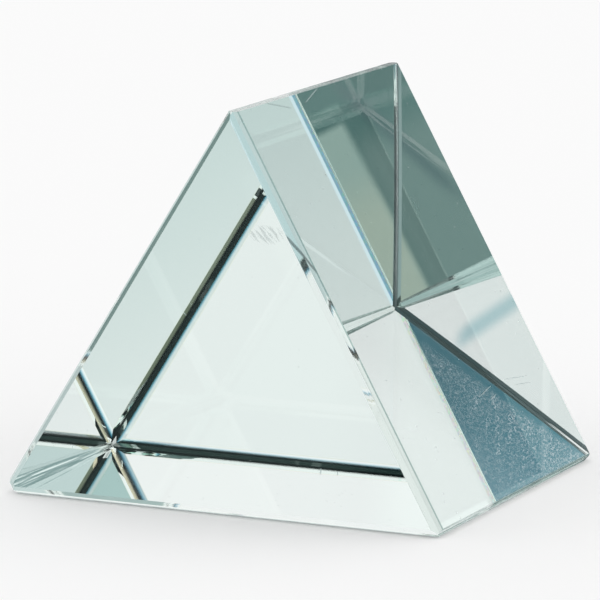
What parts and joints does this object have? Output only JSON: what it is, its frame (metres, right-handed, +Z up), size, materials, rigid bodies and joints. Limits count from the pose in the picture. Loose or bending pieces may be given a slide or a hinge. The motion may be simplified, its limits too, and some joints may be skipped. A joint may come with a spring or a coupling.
{
  "type": "equilateral glass prism",
  "caption": "Solid triangular glass block with polished faces and narrow ground bevels, which bends and splits a beam of light into colours.",
  "frame": {"origin": "middle of the long face that the block lies on", "axes": "+X across the block, +Y along its length away from the pictured end, +Z up to the top edge"},
  "size_m": [0.0374, 0.038, 0.0322],
  "materials": {
    "crown_glass": "polished faces with a faint green tint, and ground satin bevels with fine grinding streaks"
  },
  "bodies": {
    "root": {"prism_block": "crown_glass"}
  },
  "joints": []
}
